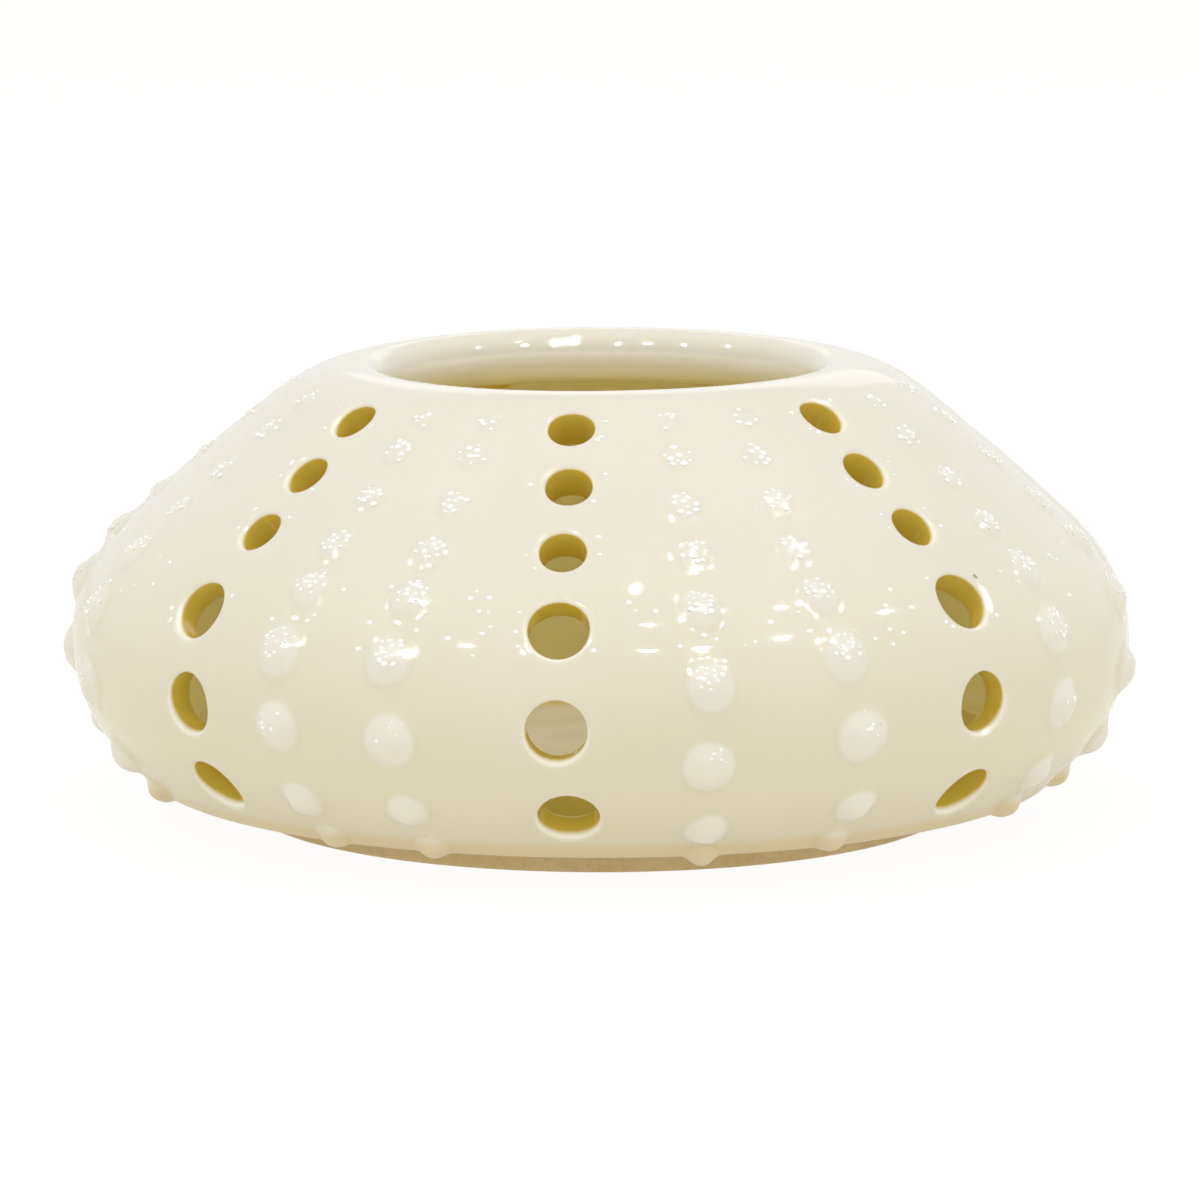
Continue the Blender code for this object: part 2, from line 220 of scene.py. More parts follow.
# Mesh density
PATCH_SIDE = 12                 # spans along each side of a hole's square patch
SECTOR_SPANS = 24               # spans between two strips of holes
LOWER_WALL_POINTS = 12          # points down the wall below the holes,
UNDERSIDE_POINTS = 4            # in along its underside, and up its seat on the floor,
COVE_SPANS = 8                  # and spans of the cove from there to the inner face
LIP_SPANS = 6                   # about so many spans between pinned points inside the lip,
LIP_OUTER_POINTS = 9            # and points from the crest down to the holes
BORE_RINGS = 5                  # rings down a hole's bore
AIM_STEPS = 8                   # steps that bring a hole's ring of points onto its drill's circle
SURROUND_RINGS = 6              # rings of the wall's face round a hole
ROUNDING_RINGS = 6              # rings over its rounded edge
OUTLINE_SAMPLES = 160           # samples in each span of the outline curve
SHARP_ANGLE = math.radians(55)  # a steeper crease, such as under a bead's skirt, is not smoothed
BEAD_SPOKES = 32
BEAD_RINGS = 12
BLISTER_SPOKES = 12
EDGE_SPANS = 40                 # spans of the outline round the wall's lower edge
FLOOR_SPOKES = 96
FOOT_SPOKES = 128
WELD = 1e-6                     # points nearer than this are one
SLIVER = 1e-7                   # edges shorter than this are dissolved
SAME_AZIMUTH = 1e-4             # radians within which a CAD corner stands on a meridian

rng = np.random.default_rng(7)  # every scatter below draws from this one sequence


# ---------------------------------------------------------------- reading the frame

def azimuth_of(x, y):
    return np.arctan2(x, -y)


def read_section(node, azimuth):
    """Corners (radius, height) of a turned CAD node at one azimuth, from its highest corner down
    its outer side and back up its inner side."""
    mesh = frame["nodes"][node].data
    corners = {}
    for vertex in mesh.vertices:
        if abs(azimuth_of(vertex.co.x, vertex.co.y) - azimuth) < SAME_AZIMUTH:
            radius = math.hypot(vertex.co.x, vertex.co.y)
            corners[vertex.index] = (round(radius, 6), round(vertex.co.z, 6))
    neighbours = {}
    for edge in mesh.edges:
        a, b = (corners.get(index) for index in edge.vertices)
        if a and b and a != b:
            neighbours.setdefault(a, set()).add(b)
            neighbours.setdefault(b, set()).add(a)
    here = max(neighbours, key=lambda corner: corner[1])
    following = max(neighbours[here], key=lambda corner: corner[0])
    walk = [here]
    while following != walk[0]:
        walk.append(following)
        ahead = neighbours[following] - {here}
        here = following
        following = max(ahead, key=lambda corner: corner not in walk)
    return np.array(walk)


def smooth_curve(knots, start, end):
    """Dense points on a cubic spline through the knots, with given unit end directions."""
    spans = np.linalg.norm(np.diff(knots, axis=0), axis=1)
    size = len(knots)
    system = np.zeros((size, size))
    right = np.zeros((size, 2))
    system[0, 0] = system[-1, -1] = 1.0
    right[0] = start
    right[-1] = end
    for i in range(1, size - 1):
        before, after = spans[i - 1], spans[i]
        system[i, i - 1:i + 2] = after, 2 * (before + after), before
        right[i] = 3 * (after * (knots[i] - knots[i - 1]) / before
                        + before * (knots[i + 1] - knots[i]) / after)
    slopes = np.linalg.solve(system, right)
    pieces = []
    t = np.linspace(0, 1, OUTLINE_SAMPLES, endpoint=False)[:, None]
    for i, span in enumerate(spans):
        pieces.append((2 * t ** 3 - 3 * t ** 2 + 1) * knots[i]
                      + (t ** 3 - 2 * t ** 2 + t) * span * slopes[i]
                      + (3 * t ** 2 - 2 * t ** 3) * knots[i + 1]
                      + (t ** 3 - t ** 2) * span * slopes[i + 1])
    return np.vstack(pieces + [knots[-1:]])


def arc_points(centre, radius, start, end, spans):
    angles = np.radians(np.linspace(start, end, spans + 1))
    return np.stack([centre[0] + radius * np.cos(angles),
                     centre[1] + radius * np.sin(angles)], axis=1)


section = read_section("body_wall", PLAIN_MERIDIAN)
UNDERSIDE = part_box("base_floor")[0].z
FLOOR_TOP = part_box("base_floor")[1].z
CREST = section[0]
LIP_RADIUS = CREST[0] - section[:, 0].min()
edge_bottom = int(np.argmin(section[:, 1]))
SEAT_RADIUS = section[edge_bottom + 1][0]
edge_top = edge_bottom - 2      # the CAD rounds its lower edge with two flats


class Outline:
    """The wall's outer outline, from the crest of the lip down and round the lower edge."""

    def __init__(self):
        bottom = section[edge_bottom]
        top = section[edge_top]
        drop = top[1] - bottom[1]
        radius = (np.square(top - bottom).sum()) / (2 * drop)
        centre = bottom + np.array([0.0, radius])
        out = (top - centre) / radius
        curve = smooth_curve(section[:edge_top + 1], (1.0, 0.0), (out[1], -out[0]))
        turn = math.degrees(math.atan2(out[1], out[0]))
        edge = arc_points(centre, radius, turn, -90.0, EDGE_SPANS)
        points = np.vstack([curve, edge[1:]])
        steps = np.linalg.norm(np.diff(points, axis=0), axis=1)
        self.distance = np.concatenate([[0.0], np.cumsum(steps)])
        self.length = self.distance[-1]
        self.points = points
        along = np.gradient(points, self.distance, axis=0)
        along /= np.linalg.norm(along, axis=1)[:, None]
        self.normals = np.stack([-along[:, 1], along[:, 0]], axis=1)

    def flat(self, distance, lift=0.0):
        """(radius, height) at a distance down the outline, lifted off the outer face."""
        radial = np.interp(distance, self.distance, self.normals[:, 0])
        up = np.interp(distance, self.distance, self.normals[:, 1])
        over = np.maximum(distance - self.length, 0.0)
        radius = np.interp(distance, self.distance, self.points[:, 0]) - over + lift * radial
        height = np.interp(distance, self.distance, self.points[:, 1]) + lift * up
        return radius, height

    def at_height(self, height):
        return float(np.interp(-height, -self.points[:, 1], self.distance))

    def place(self, radius, height):
        """(distance, lift) of a section point that lies near the outer face."""
        offset = np.array([radius, height]) - self.points
        nearest = int(np.argmin(np.square(offset).sum(axis=1)))
        return self.distance[nearest], float(offset[nearest] @ self.normals[nearest])


outline = Outline()


def turned(radius, height, azimuth):
    radius, height, azimuth = np.broadcast_arrays(radius, height, azimuth)
    return np.stack([radius * np.sin(azimuth), -radius * np.cos(azimuth), height], axis=-1)


def on_wall(distance, azimuth, lift=0.0):
    radius, height = outline.flat(distance, lift)
    return turned(radius, height, azimuth)


def outer_lift(distance):
    """Lift of the wall's outer face, which lifts are counted from."""
    return np.zeros_like(distance)


def inner_lift(distance):
    """Lift of the wall's inner face, the thickness of the wall below the outer one."""
    start, end = THICKENING
    share = np.clip((outline.flat(distance)[1] - start) / (end - start), 0.0, 1.0)
    return -WALL - (UPPER_WALL - WALL) * share * share * (3 - 2 * share)


def hole_column_azimuths():
    """Azimuths of the stem hole columns, from the openings that the record states for them."""
    azimuths = []
    for opening in frame["record"]["physics"]["openings"]:
        if opening["name"].startswith("stem_hole_middle"):
            low, high = np.array(opening["box_m"])
            middle = (low + high) / 2
            stray = HOLE_STRAYS[PATTERN_OF_COLUMN[len(azimuths)]][MIDDLE_ROW][0] * MM
            radius = math.hypot(middle[0], middle[1])
            azimuths.append(float(azimuth_of(middle[0], middle[1])) - stray / radius)
    return np.unwrap(azimuths)


# ---------------------------------------------------------------- hand-made shape

def hand_made(points):
    """The small unevenness of a pot made by hand: out of round, a tilt of the rim, throwing rings."""
    x, y, z = points[:, 0], points[:, 1], points[:, 2]
    azimuth = azimuth_of(x, y)
    height = z / cad_high.z
    swell = MM * sum(size * np.sin(waves * azimuth + phase) for waves, size, phase in OUT_OF_ROUND)
    rings = THROWING_RING * np.sin(2 * math.pi * z / THROWING_GAP + azimuth)
    radius = np.hypot(x, y)
    share = np.clip(radius / (30 * MM), 0, 1) * np.clip(height * 3, 0, 1)
    stretch = 1 + (swell + rings) * share / np.maximum(radius, 1 * MM)
    rim = RIM_TILT * np.sin(azimuth - 0.6) + RIM_WAVE * np.sin(2 * azimuth + 1.0)
    moved = points.copy()
    moved[:, 0] *= stretch
    moved[:, 1] *= stretch
    moved[:, 2] += rim * height ** 3 - RIM_SINK * height ** 3
    return moved


# ---------------------------------------------------------------- meshes

class Skin:
    """Grids of points, welded into one mesh of closed surfaces. For the glaze to read, each point
    carries a depth, 0 outside and 1 inside the pot, and a lift, from -1 in a hole through 0 on the
    wall and 1 on top of a bead to 1.6 on top of a blister. From these the glaze paints amber shade
    inside the pot and in the holes, and white glints on the blisters."""

    def __init__(self):
        self.points = []
        self.depths = []
        self.lifts = []
        self.faces = []
        self.count = 0

    def add_grid(self, points, depth, lift=0.0, wrap=False):
        """Quads over a grid of shape (rows, columns, 3); wrap joins the last column to the first."""
        rows, columns = points.shape[:2]
        index = self.count + np.arange(rows * columns).reshape(rows, columns)
        if wrap:
            index = np.hstack([index, index[:, :1]])
        corners = (index[:-1, :-1], index[1:, :-1], index[1:, 1:], index[:-1, 1:])
        self.faces += np.stack(corners, axis=-1).reshape(-1, 4).tolist()
        self.points.append(points.reshape(-1, 3))
        shape = (rows, columns)
        self.depths.append(np.broadcast_to(depth, shape).ravel())
        self.lifts.append(np.broadcast_to(lift, shape).ravel())
        self.count += rows * columns

    def build(self, name):
        mesh = bpy.data.meshes.new(name)
        points = hand_made(np.vstack(self.points))
        mesh.from_pydata(points.tolist(), [], self.faces)
        for title, values in (("depth", self.depths), ("lift", self.lifts)):
            layer = mesh.attributes.new(title, 'FLOAT', 'POINT')
            layer.data.foreach_set("value", np.concatenate(values).astype(np.float32))
        body = bmesh.new()
        body.from_mesh(mesh)
        bmesh.ops.remove_doubles(body, verts=body.verts, dist=WELD)
        bmesh.ops.dissolve_degenerate(body, dist=SLIVER, edges=body.edges)
        bmesh.ops.recalc_face_normals(body, faces=body.faces)
        body.to_mesh(mesh)
        body.free()
        mesh.shade_smooth()
        mesh.set_sharp_from_angle(angle=SHARP_ANGLE)
        piece = bpy.data.objects.new(name, mesh)
        bpy.context.scene.collection.objects.link(piece)
        return piece


def finish_piece(piece, slot, material, *nodes):
    """Dress a piece, attach it to the root body and hide these CAD nodes in its place."""
    piece.data.materials.append(material)
    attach(piece, ROOT)
    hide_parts(*nodes)
    return piece


# ---------------------------------------------------------------- wall with stem holes

hole_distances = [outline.at_height(height) for height in HOLE_HEIGHTS]
patch_ends = ([hole_distances[0] - PATCH_TOP]
              + [(a + b + wide_a - wide_b) / 2 for a, b, wide_a, wide_b in
                 zip(hole_distances, hole_distances[1:], HOLE_RADII, HOLE_RADII[1:])]
              + [hole_distances[-1] + PATCH_BOTTOM])
zone = np.concatenate([np.linspace(a, b, PATCH_SIDE, endpoint=False)
                       for a, b in zip(patch_ends, patch_ends[1:])] + [patch_ends[-1:]])


def face_points(distances, face):
    return np.stack(outline.flat(distances, face(distances)), axis=1)


def lower_section():
    """From the outer face below the holes, round the edge and the underside, to the inner face."""
    outer = face_points(np.linspace(zone[-1], outline.length, LOWER_WALL_POINTS), outer_lift)
    under = np.linspace(outer[-1], (SEAT_RADIUS, UNDERSIDE), UNDERSIDE_POINTS)[1:]
    seat = np.linspace(under[-1], (SEAT_RADIUS, FLOOR_TOP), UNDERSIDE_POINTS)[1:]
    inner_end = face_points(zone[-1:], inner_lift)[0]
    before = face_points(zone[-1:] - 0.5 * MM, inner_lift)[0]
    along = (before - inner_end) / np.linalg.norm(before - inner_end)
    cove = smooth_curve(np.array([seat[-1], inner_end]), (1.0, 0.0), along)
    return np.vstack([outer, under, seat, cove[::OUTLINE_SAMPLES // COVE_SPANS][1:-1], inner_end])


def lip_section():
    """From the inner face above the holes, over the thick rolled lip, to the outer face."""
    inner_start = face_points(zone[:1], inner_lift)[0]
    before = face_points(zone[:1] + 0.5 * MM, inner_lift)[0]
    along = (inner_start - before) / np.linalg.norm(inner_start - before)
    angles = np.radians(LIP_ANGLES)
    across = CREST[0] + LIP_RADIUS * np.cos(angles)
    drop = np.where(angles > math.pi, LIP_DROP, LIP_RADIUS)
    up = CREST[1] - LIP_RADIUS + drop * np.sin(angles)
    roll = np.vstack([inner_start, np.stack([across, up], axis=1)])
    inner = smooth_curve(roll, along, (1.0, 0.0))
    outer = face_points(np.linspace(0.0, zone[0], LIP_OUTER_POINTS), outer_lift)[1:]
    return np.vstack([inner[::OUTLINE_SAMPLES // LIP_SPANS], outer])


def section_depth(points):
    """0 outside and on the lip, growing to 1 on the inner face."""
    inside = np.array([max(0.0, -outline.place(r, z)[1]) for r, z in points]) / WALL
    below_lip = (CREST[1] - DEPTH_START - points[:, 1]) / DEPTH_FADE
    return np.clip(inside * 1.1, 0.0, 1.0) * np.clip(below_lip, 0.0, 1.0)


class StemHole:
    """One stem hole and the square patch of the wall that it is cut from."""

    def __init__(self, index, column, row):
        across, down = HOLE_STRAYS[PATTERN_OF_COLUMN[index]][row]
        self.distance = hole_distances[row] + down * MM
        self.azimuth = column + across * MM / outline.flat(self.distance)[0]
        self.radius = HOLE_RADII[row]
        self.border = self.patch_border(column, row)
        off = self.border - (self.distance, self.azimuth)
        self.angles = np.arctan2(off[:, 0], off[:, 1] * outline.flat(self.distance)[0])
        self.centre = on_wall(self.distance, self.azimuth)
        out = on_wall(self.distance, self.azimuth, 1 * MM) - self.centre
        self.axis = out / np.linalg.norm(out)
        self.across = np.array([math.cos(self.azimuth), math.sin(self.azimuth), 0.0])
        self.down = np.cross(self.across, self.axis)

    def patch_border(self, column, row):
        """The border of the hole's patch: (distance, azimuth), once round."""
        top, bottom = patch_ends[row], patch_ends[row + 1]
        down = np.linspace(top, bottom, PATCH_SIDE + 1)
        across = np.linspace(column - STRIP_HALF_ANGLE, column + STRIP_HALF_ANGLE, PATCH_SIDE + 1)
        sides = [np.stack([np.full(PATCH_SIDE, top), across[:-1]], axis=1),
                 np.stack([down[:-1], np.full(PATCH_SIDE, across[-1])], axis=1),
                 np.stack([np.full(PATCH_SIDE, bottom), across[:0:-1]], axis=1),
                 np.stack([down[:0:-1], np.full(PATCH_SIDE, across[0])], axis=1)]
        return np.vstack(sides)

    def ring(self, radius, face):
        """(distance, azimuth) of points where a drill of this radius meets a face of the wall."""
        wanted_across = radius * np.cos(self.angles)
        wanted_down = radius * np.sin(self.angles)
        distance = self.distance + wanted_down
        azimuth = self.azimuth + wanted_across / outline.flat(distance, face(distance))[0]
        for _ in range(AIM_STEPS):
            lift = face(distance)
            offset = on_wall(distance, azimuth, lift) - self.centre
            turn = (wanted_across - offset @ self.across) / outline.flat(distance, lift)[0]
            azimuth = azimuth + turn
            distance = distance + (wanted_down - offset @ self.down)
        return distance, azimuth

    def surround(self, skin, face, rounding, depth, side):
        """The face round the hole and its rounded edge. Side is 1 for the outer face and -1 for
        the inner one. Gives the ring of points where the bore begins, and its depth."""
        rounding = np.broadcast_to(rounding, self.angles.shape)
        distance, azimuth = self.ring(self.radius + rounding, face)
        grid = []
        for share in np.linspace(1, 0, SURROUND_RINGS) ** 1.25:
            here = distance + (self.border[:, 0] - distance) * share
            turn = azimuth + (self.border[:, 1] - azimuth) * share
            grid.append(on_wall(here, turn, face(here)))
        depths = [np.full(len(rounding), depth)] * len(grid)
        lifts = [0.0] * len(grid)
        for angle in np.linspace(0, math.pi / 2, ROUNDING_RINGS)[1:]:
            sink = rounding * (1 - math.cos(angle))
            distance, azimuth = self.ring(self.radius + rounding * (1 - math.sin(angle)), face)
            drop = side * sink[:, None] * self.axis
            grid.append(on_wall(distance, azimuth, face(distance)) - drop)
            depths.append(depth + side * sink / WALL)
            # painted shade: amber creeping onto the rounded edge towards the bore
            lifts.append(AMBER_SHADE_LIFT * (1 - math.cos(angle)) ** 2)
        skin.add_grid(np.stack(grid), np.stack(depths), np.array(lifts)[:, None], wrap=True)
        return grid[-1], depths[-1]

    def add_to(self, skin):
        below = 0.5 + 0.5 * np.sin(self.angles)
        rounding = TOP_ROUNDING + (BOTTOM_ROUNDING - TOP_ROUNDING) * below ** 1.5
        mouth, mouth_depth = self.surround(skin, outer_lift, rounding, 0.0, 1.0)
        back, back_depth = self.surround(skin, inner_lift, INNER_ROUNDING, 1.0, -1.0)
        shares = np.linspace(0, 1, BORE_RINGS)[:, None, None]
        depths = mouth_depth + (back_depth - mouth_depth) * shares[:, :, 0]
        # painted shade: the bore is amber along its length
        lifts = [[AMBER_SHADE_LIFT]] + [[-1]] * (BORE_RINGS - 2) + [[AMBER_SHADE_LIFT]]
        skin.add_grid(mouth + (back - mouth) * shares, depths, lifts, wrap=True)

    def add_rim_blisters(self, skin):
        """A few blisters left and right of the hole."""
        for _ in range(RIM_BLISTERS):
            side = rng.choice((-1, 1))
            turn = rng.uniform(-0.8, 0.8)
            reach = self.radius + BOTTOM_ROUNDING + rng.uniform(0.1, 0.7) * MM
            across = side * reach * math.cos(turn)
            distance = self.distance + reach * math.sin(turn)
            azimuth = self.azimuth + across / outline.flat(distance)[0]
            add_blister(skin, distance, azimuth, 0.0, rng.uniform(0.22, 0.42) * MM)


def make_wall(material):
    """Plain sectors of the wall, and between them strips of stem holes."""
    skin = Skin()
    lower = lower_section()
    lip = lip_section()
    whole = np.vstack([face_points(zone, outer_lift), lower[1:-1],
                       face_points(zone[::-1], inner_lift), lip[1:-1],
                       face_points(zone[:1], outer_lift)])
    columns = hole_column_azimuths()
    for index, column in enumerate(columns):
        following = columns[(index + 1) % HOLE_COLUMNS]
        if index == HOLE_COLUMNS - 1:
            following += 2 * math.pi
        sector = np.linspace(column + STRIP_HALF_ANGLE, following - STRIP_HALF_ANGLE,
                             SECTOR_SPANS + 1)
        strip = np.linspace(column - STRIP_HALF_ANGLE, column + STRIP_HALF_ANGLE, PATCH_SIDE + 1)
        for points, azimuths in ((whole, sector), (lower, strip), (lip, strip)):
            grid = turned(points[:, :1], points[:, 1:], azimuths[None, :])
            depth = section_depth(points)[:, None]
            # painted shade: a touch of the holes' amber on the inner face just below the lip
            skin.add_grid(grid, depth, -0.6 * depth * (1 - depth))
        for _ in range(LOOSE_BLISTERS):
            height = rng.uniform(*LOOSE_BAND)
            add_blister(skin, outline.at_height(height), rng.uniform(sector[0], sector[-1]), 0.0,
                        rng.uniform(0.2, 0.45) * MM)
        for row in range(len(HOLE_HEIGHTS)):
            hole = StemHole(index, column, row)
            hole.add_to(skin)
            if row < RIM_BLISTER_ROWS:
                hole.add_rim_blisters(skin)
    wall = skin.build("glazed_wall")
    return finish_piece(wall, "ivory_glaze", material, "body_wall")


# ---------------------------------------------------------------- floor and foot

def turned_skin(name, points, depths, lifts, spans):
    azimuths = np.linspace(0, 2 * math.pi, spans, endpoint=False)
    skin = Skin()
    skin.add_grid(turned(points[:, :1], points[:, 1:], azimuths[None, :]), depths, lifts, wrap=True)
    return skin.build(name)


def make_floor(material):
    """Slab that closes the bottom, with faint finger marks on its upper face and painted amber shade
    round its edge, where it meets the wall."""
    radii = np.linspace(0.0, SEAT_RADIUS, FLOOR_POINTS)
    fade = np.clip(1 - radii / SEAT_RADIUS, 0, 1)
    marks = FINGER_MARK * np.sin(radii / FINGER_GAP * 2 * math.pi) * fade
    top = np.stack([radii, FLOOR_TOP + marks], axis=1)
    rim = np.linspace(top[-1], (SEAT_RADIUS, UNDERSIDE), 4)[1:-1]
    under = np.stack([radii[::-2], np.full(len(radii[::-2]), UNDERSIDE)], axis=1)
    under[-1, 0] = 0.0
    points = np.vstack([top, rim, under])[::-1]
    upper = points[:, 1:] > UNDERSIDE + WALL / 2
    start, width = FLOOR_CORNER_SHADE
    edge = np.clip((points[:, :1] - start) / width, 0, 1) * upper
    floor = turned_skin("glazed_floor", points, edge, AMBER_SHADE_LIFT * edge, FLOOR_SPOKES)
    return finish_piece(floor, "floor_glaze", material, "base_floor")


def make_foot(material):
    """Foot ring with soft corners; its top runs up to the underside and flares into it."""
    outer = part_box("foot_ring")[1].x
    inner = read_section("foot_ring", PLAIN_MERIDIAN)[:, 0].min()
    soft = FOOT_CORNER
    flare = FOOT_FLARE
    points = np.vstack([
        arc_points((outer + flare, UNDERSIDE - flare), flare, 90, 180, 6),
        arc_points((outer - soft, soft), soft, 0, -90, 5),
        arc_points((inner + soft, soft), soft, -90, -180, 5),
        arc_points((inner - flare, UNDERSIDE - flare), flare, 0, 90, 6),
        [(inner - flare, UNDERSIDE + 0.1 * MM), (outer + flare, UNDERSIDE + 0.1 * MM)],
    ])
    points = np.vstack([points, points[:1]])[::-1]
    foot = turned_skin("foot", points, 0.0, 0.0, FOOT_SPOKES)
    return finish_piece(foot, "foot_clay", material, "foot_ring")


# ---------------------------------------------------------------- slip beads

def read_beads(node):
    """(distance, azimuth, half width, height) of each bead of a CAD row. The row's corners stand in
    stations across it; the top corner of a station is on the row's ridge."""
    corners = np.array([v.co for v in frame["nodes"][node].data.vertices], float)
    radii = np.hypot(corners[:, 0], corners[:, 1])
    azimuths = azimuth_of(corners[:, 0], corners[:, 1])
    first = azimuths[0]
    azimuths = first + (azimuths - first + math.pi) % (2 * math.pi) - math.pi
    places = np.array([outline.place(r, z) for r, z in zip(radii, corners[:, 2])])
    order = np.argsort(places[:, 0])
    breaks = np.flatnonzero(np.diff(places[order, 0]) > STATION_GAP) + 1
    stations = []
    for group in np.split(order, breaks):
        top = group[np.argmax(places[group, 1])]
        half = np.abs(azimuths[group] - azimuths[top]).max() * radii[top]
        stations.append((places[top, 0], azimuths[top], half, places[top, 1]))
    beads = []
    for before, here, after in zip(stations, stations[1:], stations[2:]):
        if here[3] > before[3] and here[3] > after[3]:
            beads.append(here)
    return beads


def dome(share, sharpness):
    """Height of a bead, 1 at its middle and flowing out to 0 at the rim of its skirt."""
    return (1 - share ** sharpness) ** 3


def swells(down, across):
    """Height of the small swells that the glaze leaves over a dab of slip."""
    height = 0.0
    for _ in range(SWELL_WAVES):
        turn = rng.uniform(0, math.pi)
        length = rng.uniform(*SWELL_LENGTH)
        along = down * math.cos(turn) + across * math.sin(turn)
        height = height + np.sin(2 * math.pi * along / length + rng.uniform(0, 2 * math.pi))
    return SWELL_HEIGHT * height


def add_blister(skin, distance, azimuth, foot, radius):
    """One tiny closed dome in the glaze, standing on a face at this lift."""
    spokes = np.linspace(0, 2 * math.pi, BLISTER_SPOKES, endpoint=False)
    shares = np.array(BLISTER_SHARES)[:, None]
    rise = np.array(BLISTER_RISES)[:, None]
    down = radius * rng.uniform(0.85, 1.0) * shares * np.sin(spokes)
    across = radius * rng.uniform(1.0, 1.3) * shares * np.cos(spokes)
    turn = across / outline.flat(distance)[0]
    lift = foot + BLISTER_HEIGHT * radius * rise
    dome_points = on_wall(distance + down, azimuth + turn, lift)
    base = on_wall(distance, azimuth, lift[-1, 0])
    points = np.concatenate([dome_points, np.broadcast_to(base, (1, len(spokes), 3))])
    over = np.append(np.clip(rise, 0, 1), [[0.0]], axis=0)
    # the lift over a blister's top paints it white as a glint
    skin.add_grid(points, 0.0, 1.0 + BLISTER_LIFT * over, wrap=True)


def skirt(half, melt):
    """Radius of a bead's whole skirt, and its sharpness. Melt is 0 for a bead that stands firm and
    1 for one that has sunk into the glaze and spread."""
    share = FIRM_SHARE + (MELTED_SHARE - FIRM_SHARE) * melt
    return half / share, FIRM_SHARPNESS + (MELTED_SHARPNESS - FIRM_SHARPNESS) * melt


def add_blisters(skin, order, distance, azimuth, half, height, melt):
    """A cluster of blisters over one bead; on the firmer beads it sits towards the top."""
    count, radius = BLISTERS[order]
    reach, sharpness = skirt(half, melt)
    spread = half * (0.6 + 0.55 * melt)
    places = []
    for _ in range(BLISTER_TRIES * count):
        out = spread * math.sqrt(rng.uniform())
        turn = rng.uniform(0, 2 * math.pi)
        place = (out * math.sin(turn) - 0.45 * half * (1 - melt), out * math.cos(turn))
        gap = BLISTER_GAP * radius
        if len(places) < count and all(math.dist(place, other) > gap for other in places):
            places.append(place)
    for down, across in places:
        share = min(1.0, math.hypot(down, across) / reach)
        add_blister(skin, distance + down, azimuth + across / outline.flat(distance)[0],
                    height * dome(share, sharpness), radius * rng.uniform(0.6, 1.25))


def add_bead(skin, distance, azimuth, half, height, melt):
    """One dab of slip under the glaze."""
    reach, sharpness = skirt(half, melt)
    stretch = rng.uniform(0.98, 1.1)
    lean = rng.uniform(-0.1, 0.1)
    lobes = rng.uniform(-0.035, 0.035, 2)
    turns = rng.uniform(0, 2 * math.pi, 2)
    spokes = np.linspace(0, 2 * math.pi, BEAD_SPOKES, endpoint=False)
    shares = np.linspace(0, 1, BEAD_RINGS + 1)[:, None]
    outline_shape = (1 + lobes[0] * np.sin(2 * spokes + turns[0])
                     + lobes[1] * np.sin(3 * spokes + turns[1]))
    down = reach * stretch * shares * np.sin(spokes) * outline_shape
    across = reach * shares * np.cos(spokes) * outline_shape
    outer_radius = outline.flat(distance + down)[0]
    rise = dome(shares, sharpness) * (1 + lean * shares * np.cos(spokes - 0.7))
    lift = (height + swells(down, across)) * rise - SKIRT_SINK * shares
    top = on_wall(distance + down, azimuth + across / outer_radius, lift)
    skin.add_grid(top, 0.0, rise * (1 + (MELTED_WHITENESS - 1) * melt), wrap=True)
    rim = on_wall(distance + down[-1], azimuth + across[-1] / outer_radius[-1], -BEAD_FOOTING)
    base = on_wall(distance, azimuth, -BEAD_FOOTING)
    closing = np.stack([top[-1], rim, np.broadcast_to(base, rim.shape)])
    skin.add_grid(closing, 0.0, 0.0, wrap=True)


def make_bead_rows(material):
    for number in range(1, 2 * HOLE_COLUMNS + 1):
        node = f"bead_row_{number:02d}"
        skin = Skin()
        for order, (distance, azimuth, half, height) in enumerate(read_beads(node)):
            melt = max(0.0, 1 - order / FIRST_FIRM_BEAD)
            distance += rng.normal(0, BEAD_STRAY) * MM
            azimuth += rng.normal(0, BEAD_TURN)
            half *= rng.uniform(0.95, 1.05)
            height *= rng.uniform(0.9, 1.02)
            height *= FIRM_HEIGHT + (MELTED_HEIGHT - FIRM_HEIGHT) * melt
            add_bead(skin, distance, azimuth, half, height, melt)
            add_blisters(skin, order, distance, azimuth, half, height, melt)
        row = skin.build(f"slip_beads_{number:02d}")
        finish_piece(row, "slip_bead_glaze", material, node)


# ---------------------------------------------------------------- materials

